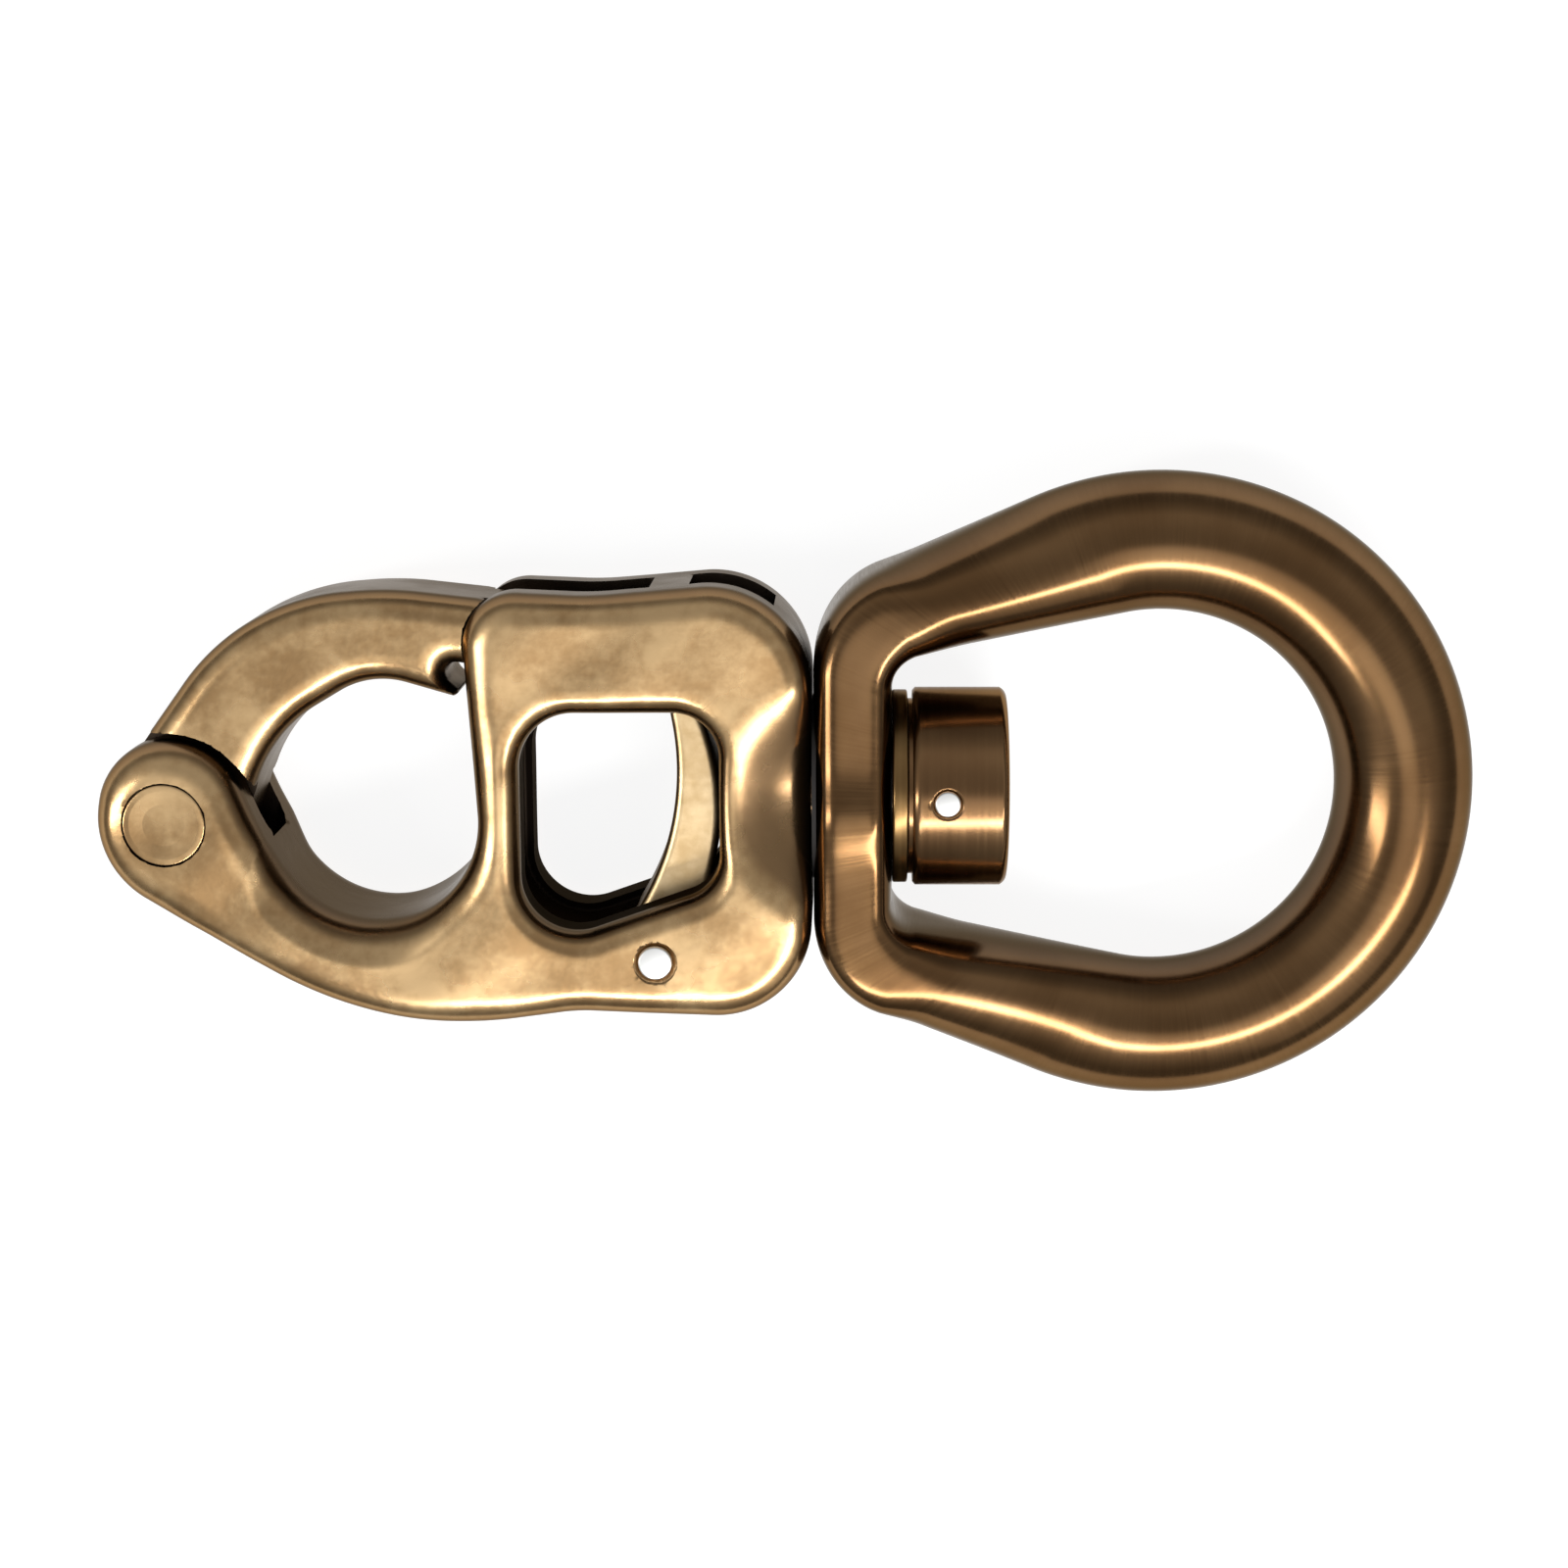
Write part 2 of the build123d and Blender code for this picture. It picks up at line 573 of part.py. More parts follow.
def bail_stations():
    """Inner point, outer point, half width and squareness, from the base's middle to the ring."""
    base_half = base_width / 2
    flat_inner = (base_end, base_inner_half * base_flat_share)
    flat_outer = (base_start, base_outer_half * base_flat_share)
    stations = [((base_end, 0), (base_start, 0), base_half, base_square),
                (flat_inner, flat_outer, base_half, base_square)]
    inner_pivot = (base_end + base_inner_corner, base_inner_half)
    outer_pivot = (base_start + base_outer_corner, base_outer_half)
    for share in (0.0, 0.35, 0.7, 1.0):
        inner_turn = math.radians(share * (90 - leg_inner_angle))
        outer_turn = math.radians(share * (90 - leg_outer_angle))
        inner = (inner_pivot[0] - base_inner_corner * math.cos(inner_turn),
                 inner_pivot[1] + base_inner_corner * math.sin(inner_turn))
        outer = (outer_pivot[0] - base_outer_corner * math.cos(outer_turn),
                 outer_pivot[1] + base_outer_corner * math.sin(outer_turn))
        half = base_half + (ring_section_radius - base_half) * corner_fall * share ** 2
        stations.append((inner, outer, half, base_square + (corner_square - base_square) * share))
    inner_end = ring_point(ring_outer_radius - 2 * ring_section_radius, 90 + leg_inner_angle)
    outer_end = ring_point(ring_outer_radius, 90 + leg_outer_angle)
    for share, fall, square in ((0.33, 0.50, 3.2), (0.66, 0.77, 2.6)):
        inner_here = [a + (b - a) * share for a, b in zip(inner, inner_end)]
        outer_here = [a + (b - a) * (share + 0.06) for a, b in zip(outer, outer_end)]
        half = base_half + (ring_section_radius - base_half) * fall
        stations.append((inner_here, outer_here, half, square))
    for share, fall, square in ((0.5, 0.95, 2.2), (0.0, 1.0, 2.0)):
        inner_turn = 90 + leg_inner_angle * share
        outer_turn = 90 + leg_inner_angle * share + (leg_outer_angle - leg_inner_angle) * share
        inner_here = ring_point(ring_outer_radius - 2 * ring_section_radius, inner_turn)
        outer_here = ring_point(ring_outer_radius, outer_turn)
        half = base_half + (ring_section_radius - base_half) * fall
        stations.append((inner_here, outer_here, half, square))
    return stations


def ring_point(radius, turn):
    """A point of the plan about the ring's centre."""
    angle = math.radians(turn)
    return (ring_x + radius * math.cos(angle), radius * math.sin(angle))


def make_bail():
    """One forging: a round ring whose legs taper into a broad flat base with the swivel bore."""
    sections = [bail_section(*station) for station in bail_stations()]
    base = loft(sections[0:3], ruled=True)
    corner = loft(sections[2:6])
    leg = loft(sections[5:8])
    hip = loft(sections[7:10], ruled=True)
    upper = base + corner + leg + hip
    bail = upper + mirror(upper, about=Plane.XZ)
    bail += revolve(sections[-1], Axis((ring_x, 0, 0), (0, 0, -1)), 180)
    bore = bush_radius + press_allowance
    bail -= turned([(-cut_overrun, 0), (-cut_overrun, bore), (base_end + cut_overrun, bore),
                    (base_end + cut_overrun, 0)])
    for low, high in ((base_start - 1, base_start), (base_end, base_end + 1)):
        bail -= turned([(low, 0), (low, nut_radius), (high, nut_radius), (high, 0)])
    return bail


def set_in_frame(solid):
    """From the shoulder's frame to the part's frame."""
    return Pos(shoulder_x, 0, axis_height) * solid


pieces = {
    "body": make_body(),
    "jaw": make_jaw(),
    "jaw_pin": make_jaw_pin(),
    "trigger": make_trigger(),
    "trigger_pin": make_trigger_pin(),
    "trigger_spring": make_spring(),
    "bail": make_bail(),
    "swivel_bush": make_bush(),
    "thrust_washer": make_washer(),
    "swivel_nut": make_nut(),
    "nut_lock_pin": lock_pin_shape(0, 0),
}
for name, solid in pieces.items():
    placed = set_in_frame(solid)
    export_step(placed, "parts/" + name + ".step")
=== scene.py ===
"""Fine surfaces and finish of a trigger snap shackle with a large ring bail, built on its CAD frame."""
import math

import bmesh
import bpy
import numpy as np
from mathutils import Matrix, Vector


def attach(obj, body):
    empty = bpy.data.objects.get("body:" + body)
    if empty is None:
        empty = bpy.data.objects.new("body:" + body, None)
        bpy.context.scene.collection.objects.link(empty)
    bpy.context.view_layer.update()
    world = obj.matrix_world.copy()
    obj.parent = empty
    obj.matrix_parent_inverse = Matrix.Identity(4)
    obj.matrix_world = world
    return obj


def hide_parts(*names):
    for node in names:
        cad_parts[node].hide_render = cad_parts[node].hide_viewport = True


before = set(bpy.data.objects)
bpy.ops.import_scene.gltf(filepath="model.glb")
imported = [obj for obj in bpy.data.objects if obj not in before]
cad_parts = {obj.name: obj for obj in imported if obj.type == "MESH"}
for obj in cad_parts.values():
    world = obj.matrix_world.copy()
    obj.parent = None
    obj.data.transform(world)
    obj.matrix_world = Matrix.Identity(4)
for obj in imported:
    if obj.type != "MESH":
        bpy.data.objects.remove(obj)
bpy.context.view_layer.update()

# ---------------------------------------------------------------- body casting
# The body is one investment casting in stainless steel under a light bronze coating: forked nose, hook,
# windowed block with the latch slot, and the swivel shaft.  The casting was tumbled, so its rims are
# rolled over, and it was polished by hand, which leaves a soft, slightly uneven skin.
mm = 0.001                                    # all lengths are in millimetres from the shoulder
shoulder = np.array([1.9065, 0.0, 9.8])       # where the shaft leaves the block, in the frame
body_half = 9.8
body_rim = 3.2
hook_rim = 5.0
window_rim = 2.6
sharp_rim = 0.05                              # of every machined edge
face_wave = 0.05                              # of the hand-polished faces
nose = np.array([-61.5, -2.0])
eye = np.array([-42.1, -2.0])
eye_radius = 10.15
slot_half = 4.0
window_pocket = 1.9                           # how far the latch slot reaches round the window
ear_slot_radius = 9.3
ear_slot_corner = 1.2
jaw_pin_bore = 3.01
jaw_pin_head_bore = 4.03
jaw_pin_head_seat = 8.0
trigger_pin_centre = np.array([-15.0, -15.5])
trigger_pin_bore = 1.66
countersink_depth = 0.55
scoop_radius = 17.5                           # of the round cutter that sinks the face before the shoulder
scoop_lift = 13.4
scoop_x = 3.9
scoop_spread = 0.92
scoop_rim = 2.2
shaft_radius = 5.2
shaft_rim = 0.3
shaft_middle = 8.0
nut_end = 18.9
shaft_end = nut_end - 1.0


class Outline:
    """A closed outline of arcs joined by tangent lines, as a belt laid round discs (x, y, signed radius).

    The belt runs anticlockwise round a disc of positive radius, which makes a convex corner, and
    clockwise round one of negative radius, which makes a hollow.  The straight run between two discs of
    radii a and b at a distance d leaves their centre line by asin((b - a) / d), and touches each disc
    where the run's normal meets it.
    """

    def __init__(self, discs):
        self.discs = np.array(discs, float)
        after = np.roll(self.discs, -1, axis=0)
        step = after[:, :2] - self.discs[:, :2]
        reach = np.hypot(step[:, 0], step[:, 1])
        heading = np.arctan2(step[:, 1], step[:, 0]) - np.arcsin((after[:, 2] - self.discs[:, 2]) / reach)
        normal = np.stack([-np.sin(heading), np.cos(heading)], axis=1)
        self.start = self.discs[:, :2] - normal * self.discs[:, 2:]
        self.end = after[:, :2] - normal * after[:, 2:]

    def distance(self, x, y):
        """Signed distance to the outline, below zero inside it: that of the nearest arc or line.

        A line's is the offset to its right.  An arc's is the distance to its centre less its radius,
        turned round in a hollow, and counts only in the sector that the arc sweeps.
        """
        near = np.full(np.broadcast(x, y).shape, 1e9)
        arrived = np.roll(self.end, 1, axis=0)
        for (cx, cy, r), leave, arrive, before in zip(self.discs, self.start, self.end, arrived):
            along = arrive - leave
            length = np.hypot(*along)
            along = along / length
            dx, dy = x - leave[0], y - leave[1]
            run = dx * along[0] + dy * along[1]
            side = dx * along[1] - dy * along[0]
            past = np.maximum(np.maximum(-run, run - length), 0)
            offset = np.where(side < 0, -1.0, 1.0) * np.hypot(past, side)
            near = np.where(np.abs(offset) < np.abs(near), offset, near)
            first = math.atan2(before[1] - cy, before[0] - cx)
            last = math.atan2(leave[1] - cy, leave[0] - cx)
            half = (last - first) % (2 * math.pi) / 2
            middle = first + half
            if r < 0:
                middle += math.pi
                half = math.pi - half
            swing = np.abs((np.arctan2(y - cy, x - cx) - middle + math.pi) % (2 * math.pi) - math.pi)
            ring = (np.hypot(x - cx, y - cy) - abs(r)) * math.copysign(1, r)
            ring = np.where(swing <= half, ring, 1e9)
            near = np.where(np.abs(ring) < np.abs(near), ring, near)
        return near


def within(a, b, rim, power=2.5):
    """The solid inside both a and b, its outer corner rolled over the width rim.

    With u = a + rim and v = b + rim it is (u^n + v^n)^(1/n) of their positive parts, plus
    min(max(u, v), 0), less rim.  n above 2 makes the roll run out softly into both sides.
    """
    u, v = a + rim, b + rim
    rolled = (np.maximum(u, 0) ** power + np.maximum(v, 0) ** power) ** (1 / power)
    return rolled + np.minimum(np.maximum(u, v), 0) - rim


def eased(t):
    """0 below t = 0, 1 above t = 1, and 3t^2 - 2t^3 between."""
    t = np.clip(t, 0, 1)
    return t * t * (3 - 2 * t)


def joined(a, b, web):
    """The solid inside a or b, its inner corner filled to the radius web: within() turned inside out."""
    return -within(-a, -b, web)


def carved(a, b, rim):
    """The solid a with b cut out of it, its edge rounded to the radius rim."""
    return within(a, -b, rim)


def slab_of(plan, half, rim, z):
    """A plate of the given plan distance, from -half to half in z, with its rims rounded."""
    return within(plan, np.abs(z) - half, rim)


def polygon(corners, x, y):
    """Distance to a convex polygon with anticlockwise corners: the greatest of its sides' offsets."""
    far = np.full(np.broadcast(x, y).shape, -1e9)
    for (ax, ay), (bx, by) in zip(corners, corners[1:] + corners[:1]):
        length = math.hypot(bx - ax, by - ay)
        far = np.maximum(far, ((x - ax) * (by - ay) - (y - ay) * (bx - ax)) / length)
    return far


body_plan = Outline([
    (-61.3, -1.2, 7.0),                       # tip of the nose
    (-59.413, -2.001, 9.0),                   # its lower side
    (-33.6, 14.1, 36.0),                      # belly of the hook
    (-21.8, -38.8, -18.0),                    # hollow below the window
    (-9.2, -12.1, 9.2),                       # lower corner at the shoulder
    (-9.8, 10.7, 9.8),                        # upper corner at the shoulder
    (-21.5, 49.65, -30.0),                    # hollow above the window
    (-28.0, 14.9, 5.0),                       # cheek over the jaw's tail
    (eye[0], eye[1], -eye_radius),            # the hook's round inside
    (-35.2, 6.6, -20.1)])                     # the ear's inner side
window_plan = Outline([
    (-22.5, 3.1, 5.4),
    (-22.5, -7.4, 5.4),
    (-13.2, -5.2, 4.4),
    (-13.2, 4.1, 4.4)])
chamber_plan = Outline([
    (trigger_pin_centre[0], trigger_pin_centre[1], 4.2),
    (-15.6, -1.5, 10.0),                      # behind the trigger's blade
    (-4.9, 16.7, 1.2),
    (-15.5, 16.7, 1.2),
    (-16.7, 9.9, 1.2)])
tail_channel = [(-38.0, 11.95), (-15.5, 8.7), (-15.5, 26.0), (-38.0, 26.0)]
rear_slot = [(-11.7, 16.9), (-3.7, 11.9), (-3.7, 26.0), (-11.7, 26.0)]


def body_shape(x, y, z):
    """The casting: the plan's plate with rolled rims, less window, scoops, slots and holes, plus the shaft.

    The roll widens along the hook's inner edge and a little round the nose.  Each scoop is a ball, drawn
    in across the body.  The faces wave by sines of the place, as hand polishing leaves them.
    """
    plan = body_plan.distance(x, y)
    window = window_plan.distance(x, y)
    height = np.abs(z)
    from_eye = np.hypot(x - eye[0], y - eye[1]) - eye_radius
    from_nose = np.hypot(x - nose[0], y - nose[1])
    from_pin = np.hypot(x - trigger_pin_centre[0], y - trigger_pin_centre[1])
    by_hook = eased((5.5 - from_eye) / 3.0) * eased((-34.0 - x) / 7.0) * eased((3.0 - y) / 7.0)
    by_nose = 0.3 * eased((10.5 - from_nose) / 3.0)
    widened = np.maximum(by_hook * eased((from_nose - 8.0) / 5.0), by_nose)
    face = body_half - face_wave * (2.0 + np.sin(0.55 * x + 0.9) * np.sin(0.5 * y + 0.4)
                                    + np.sin(0.31 * x - 0.43 * y + 1.7))
    shape = slab_of(plan, face, body_rim + (hook_rim - body_rim) * widened, z)
    shape = carved(shape, window, window_rim)
    scoop = np.sqrt((x - scoop_x) ** 2 + (y / scoop_spread) ** 2 + (height - body_half - scoop_lift) ** 2)
    shape = carved(shape, scoop - scoop_radius, scoop_rim)
    shaft_ends = np.abs(x - shaft_middle) - (shaft_end - shaft_middle)
    shaft = within(np.hypot(y, z) - shaft_radius, shaft_ends, shaft_rim)
    shape = joined(shape, shaft, shaft_rim)
    hollow = np.minimum(polygon(tail_channel, x, y), chamber_plan.distance(x, y))
    hollow = np.minimum(hollow, polygon(rear_slot, x, y))
    hollow = np.minimum(hollow, window - window_pocket)
    shape = carved(shape, np.maximum(hollow, height - slot_half), sharp_rim)
    ear_slot = within(from_nose - ear_slot_radius, height - slot_half, ear_slot_corner, 2.0)
    shape = carved(shape, ear_slot, sharp_rim)
    shape = carved(shape, from_nose - jaw_pin_bore, sharp_rim)
    shape = carved(shape, np.maximum(from_nose - jaw_pin_head_bore, jaw_pin_head_seat - height), sharp_rim)
    countersink = from_pin - trigger_pin_bore - np.maximum(height - (body_half - countersink_depth), 0)
    return carved(shape, countersink, sharp_rim)


def slope(shape, p, reach=0.01):
    """Gradient of the shape at the points p, from its values a little to each side along each axis."""
    found = np.empty_like(p)
    for axis in range(3):
        nudge = np.zeros(3)
        nudge[axis] = reach
        ahead, behind = p + nudge, p - nudge
        found[:, axis] = (shape(*ahead.T) - shape(*behind.T)) / (2 * reach)
    return found


def surface_cells(shape, low, high, pitch):
    """Points and quads of the surface shape = 0, by dual contouring on a grid of the given pitch.

    Each grid cell that the surface crosses gets one point: the least-squares meeting point of the
    tangent planes at the crossings of the cell's edges, drawn lightly to their mean.  Each grid edge that
    the surface crosses gets the quad of its four cells' points, turned to face outwards.
    """
    axes = [np.arange(a, b + pitch, pitch) for a, b in zip(low, high)]
    value = shape(axes[0][:, None, None], axes[1][None, :, None], axes[2][None, None, :])
    value = np.where(value == 0, 1e-9, value)
    inside = value < 0
    origin = np.array(low, float)
    cell_shape = np.array(value.shape) - 1
    crossings, normals, cells, quads_of_cells = [], [], [], []
    for axis in range(3):
        first = [slice(None)] * 3
        second = [slice(None)] * 3
        first[axis], second[axis] = slice(0, -1), slice(1, None)
        at = np.argwhere(inside[tuple(first)] != inside[tuple(second)])
        nxt = at.copy()
        nxt[:, axis] += 1
        v0, v1 = value[tuple(at.T)], value[tuple(nxt.T)]
        point = origin + pitch * at
        point[:, axis] += pitch * v0 / (v0 - v1)
        normal = slope(shape, point)
        normal /= np.linalg.norm(normal, axis=1, keepdims=True) + 1e-12
        b, c = (axis + 1) % 3, (axis + 2) % 3
        corners = []
        for db, dc in ((0, 0), (-1, 0), (-1, -1), (0, -1)):
            cell = at.copy()
            cell[:, b] += db
            cell[:, c] += dc
            corners.append(cell)
            crossings.append(point)
            normals.append(normal)
            cells.append(cell)
        quad = np.stack(corners, axis=1)
        quad[v0 > 0] = quad[v0 > 0][:, ::-1]
        quads_of_cells.append(quad)
    crossings, normals, cells = (np.concatenate(part) for part in (crossings, normals, cells))
    flat = np.ravel_multi_index(tuple(cells.T), cell_shape)
    used, slot_of = np.unique(flat, return_inverse=True)
    count = np.bincount(slot_of)
    mean = np.stack([np.bincount(slot_of, crossings[:, k]) for k in range(3)], axis=1) / count[:, None]
    pull = 0.03
    matrix = np.zeros((len(used), 3, 3))
    for i in range(3):
        for j in range(3):
            matrix[:, i, j] = np.bincount(slot_of, normals[:, i] * normals[:, j])
    off = np.einsum("ij,ij->i", normals, crossings - mean[slot_of])
    right = np.stack([np.bincount(slot_of, normals[:, k] * off) for k in range(3)], axis=1)
    shift = np.linalg.solve(matrix + pull * np.eye(3), right[:, :, None])[:, :, 0]
    corner = origin + pitch * np.stack(np.unravel_index(used, cell_shape), axis=1)
    points = np.clip(mean + shift, corner, corner + pitch)
    quads = np.concatenate(quads_of_cells)
    quads = np.searchsorted(used, np.ravel_multi_index(tuple(np.moveaxis(quads, -1, 0)), cell_shape))
    return points, quads


def facing(shape, points, quads, crease=14.0):
    """One normal for each quad corner: the shape's own at the point, or at the quad's middle where the
    two lie further apart than the crease angle in degrees, so that a sharp rim stays sharp."""
    at_point = slope(shape, points)
    at_point /= np.linalg.norm(at_point, axis=1, keepdims=True) + 1e-12
    at_quad = slope(shape, points[quads].mean(axis=1))
    at_quad /= np.linalg.norm(at_quad, axis=1, keepdims=True) + 1e-12
    corner = at_point[quads]
    alike = np.einsum("qck,qk->qc", corner, at_quad) > math.cos(math.radians(crease))
    return np.where(alike[:, :, None], corner, at_quad[:, None, :]).reshape(-1, 3)


def mesh_object(name, points, quads, normals=None, shaded_below=0.0):
    """A smooth-shaded mesh object from points in the pieces' millimetres and corner numbers of its faces.

    Its corner attribute of painted shade is the upward part of each corner's normal: 1 on the flat faces
    and 0 on the walls, which the finishes paint darker.  It also falls to 0 below the given half height,
    painting shade inside the slots.  Points that fall together at a pole are merged.
    """
    mesh = bpy.data.meshes.new(name)
    mesh.from_pydata((points + shoulder) * mm, [], quads)
    if normals is None:
        weld = bmesh.new()
        weld.from_mesh(mesh)
        bmesh.ops.remove_doubles(weld, verts=weld.verts, dist=1e-7)
        weld.to_mesh(mesh)
        weld.free()
    mesh.update()
    mesh.shade_smooth()
    if normals is None:
        corners = np.empty(len(mesh.loops), np.int32)
        mesh.loops.foreach_get("vertex_index", corners)
        turned_to = np.empty(3 * len(mesh.vertices))
        mesh.vertices.foreach_get("normal", turned_to)
        level = np.abs(turned_to[2::3])[corners]
    else:
        mesh.normals_split_custom_set(normals)
        level = np.abs(normals[:, 2])
    if shaded_below:
        level = level * eased((np.abs(points[quads.ravel(), 2]) - shaded_below) / 1.2)
    mesh.attributes.new("level", "FLOAT", "CORNER").data.foreach_set("value", level)
    piece = bpy.data.objects.new(name, mesh)
    bpy.context.scene.collection.objects.link(piece)
    return piece


def casting(name, shape, low, high, pitch, shaded_below=0.0):
    """A piece whose skin is shape = 0 between two corners, drawn on a grid of the given pitch."""
    points, quads = surface_cells(shape, low, high, pitch)
    return mesh_object(name, points, quads, facing(shape, points, quads), shaded_below)


class Shade:
    """A number or colour in a material's node tree, on which the operators add Math nodes."""

    def __init__(self, tree, socket=None):
        self.tree = tree
        self.socket = socket

    def made(self, kind, settings, sockets, output=0):
        """Adds a node: its settings first, then its sockets' values or links, and gives one output."""
        node = self.tree.nodes.new(kind)
        for key, wanted in settings.items():
            if key == "stops":
                ramp = node.color_ramp
                while len(ramp.elements) < len(wanted):
                    ramp.elements.new(1.0)
                for element, (place, colour) in zip(ramp.elements, wanted):
                    element.position = place
                    element.color = (*colour, 1.0)
            else:
                setattr(node, key, wanted)
        for key, wanted in sockets.items():
            if isinstance(wanted, Shade):
                self.tree.links.new(wanted.socket, node.inputs[key])
            else:
                node.inputs[key].default_value = wanted
        return Shade(self.tree, node.outputs[output] if len(node.outputs) else None)

    def maths(self, operation, first, second=0.0, clamp=False):
        """One Math node."""
        settings = {"operation": operation, "use_clamp": clamp}
        return self.made("ShaderNodeMath", settings, {0: first, 1: second})

    def __add__(self, other):
        return self.maths("ADD", self, other)

    __radd__ = __add__

    def __sub__(self, other):
        return self.maths("SUBTRACT", self, other)

    def __rsub__(self, other):
        return self.maths("SUBTRACT", other, self)

    def __mul__(self, other):
        return self.maths("MULTIPLY", self, other)

    __rmul__ = __mul__

    def parts(self):
        """The three numbers of a vector."""
        node = self.made("ShaderNodeSeparateXYZ", {}, {0: self}).socket.node
        return [Shade(self.tree, part) for part in node.outputs]

    def ranged(self, low, high, to_low=0.0, to_high=1.0):
        """The value carried smoothly from one range to another and held there."""
        return self.made("ShaderNodeMapRange", {"interpolation_type": "SMOOTHSTEP"}, {
            "Value": self, "From Min": low, "From Max": high, "To Min": to_low, "To Max": to_high})

    def toned(self, first, second):
        """The colour between two colours that this value, from 0 to 1, picks."""
        return self.made("ShaderNodeMix", {"data_type": "RGBA"}, {
            "Factor": self, 6: (*first, 1.0) if isinstance(first, tuple) else first,
            7: (*second, 1.0) if isinstance(second, tuple) else second}, output=2)


def new_finish(name):
    """An empty material, the Shade of its tree, and its Object coordinates."""
    finish = bpy.data.materials.new(name)
    finish.use_nodes = True
    finish.node_tree.nodes.clear()
    pen = Shade(finish.node_tree)
    place = pen.made("ShaderNodeTexCoord", {}, {}, output="Object")
    return finish, pen, place


def metal(finish, pen, sockets):
    """Closes a material with a metallic shader, whose glancing reflections keep a brown tint."""
    skin = pen.made("ShaderNodeBsdfPrincipled", {}, {
        "Metallic": 1.0, "Specular Tint": (0.58, 0.53, 0.47, 1.0), **sockets})
    pen.made("ShaderNodeOutputMaterial", {}, {"Surface": skin})
    return finish


def light_bronze(name, deep=(0.45, 0.275, 0.125), pale=(0.66, 0.45, 0.23), rough=0.25):
    """Light bronze coating: cloudy gold on the polished faces, brown on the rolls, dark on the walls.

    The corner attribute of painted shade, the upward part of the normal, picks between them: the brown
    rolls and dark walls are painted shade, and a value below zero, out of the light, is painted black.
    """
    # Painted shade: brown for the rolls, dark for the walls and black out of the light.
    roll_shade, wall_shade, unlit_black = (0.28, 0.170, 0.082), (0.085, 0.062, 0.045), (0.012, 0.008, 0.006)
    finish, pen, place = new_finish(name)
    level = pen.made("ShaderNodeAttribute", {"attribute_name": "level"}, {}, output="Fac")
    clouds = pen.made("ShaderNodeTexNoise", {}, {"Vector": place, "Scale": 120.0, "Detail": 4.0})
    grains = pen.made("ShaderNodeTexNoise", {}, {"Vector": place, "Scale": 900.0, "Detail": 3.0})
    dents = pen.made("ShaderNodeTexNoise", {}, {"Vector": place, "Scale": 260.0, "Detail": 3.0})
    face = (clouds * 0.7 + grains * 0.3).ranged(0.35, 0.65).toned(deep, pale)
    # The rolls and walls are painted darker by how far each corner faces upwards.
    rolled = level.ranged(0.05, 0.75).toned(wall_shade, roll_shade)
    lit = level.ranged(-0.6, -0.1)
    colour = lit.toned(unlit_black, level.ranged(0.55, 0.97).toned(rolled, face))
    sheen = clouds.ranged(0.3, 0.7, rough - 0.04, rough + 0.06) + (1.0 - lit) * 0.5
    skin = pen.made("ShaderNodeBump", {}, {
        "Strength": 0.12, "Distance": 0.0003, "Height": dents * 0.7 + grains * 0.3})
    return metal(finish, pen, {"Base Color": colour, "Roughness": sheen, "Normal": skin})


def shaded_level(piece):
    """Paints more shade: darker in the scoops and on their ridge, and black on the window's walls."""
    mesh = piece.data
    points = np.empty(3 * len(mesh.vertices))
    mesh.vertices.foreach_get("co", points)
    corners = np.empty(len(mesh.loops), np.int32)
    mesh.loops.foreach_get("vertex_index", corners)
    x, y, z = ((points.reshape(-1, 3) / mm - shoulder)[corners]).T
    level = np.empty(len(corners))
    mesh.attributes["level"].data.foreach_get("value", level)
    # Painted shade: the scoops and the ridge at their edge are painted darker.
    scoop_shade = eased((x + 9.5) / 2.0) * eased((11.0 - np.abs(y)) / 2.0)
    level *= 1 - 0.33 * scoop_shade * eased((body_half - 0.15 - np.abs(z)) / 0.9)
    # Painted shade: the window's walls are painted black, out of the light.
    window_shade = eased((1.0 - window_plan.distance(x, y)) / 0.8)
    level -= window_shade * eased((0.5 - level) / 0.4) * eased((body_half - 2.2 - z) / 1.5)
    mesh.attributes["level"].data.foreach_set("value", level)


# Within 4.4 mm of the middle, inside the slots, the casting is painted in shade.
body_casting = casting("body_casting", body_shape, (-70.2, -22.8, -10.4), (18.6, 21.4, 10.4), 0.4, shaded_below=4.4)
shaded_level(body_casting)
body_casting.data.materials.append(light_bronze("light_bronze_body"))
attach(body_casting, "frame")
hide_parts("body")

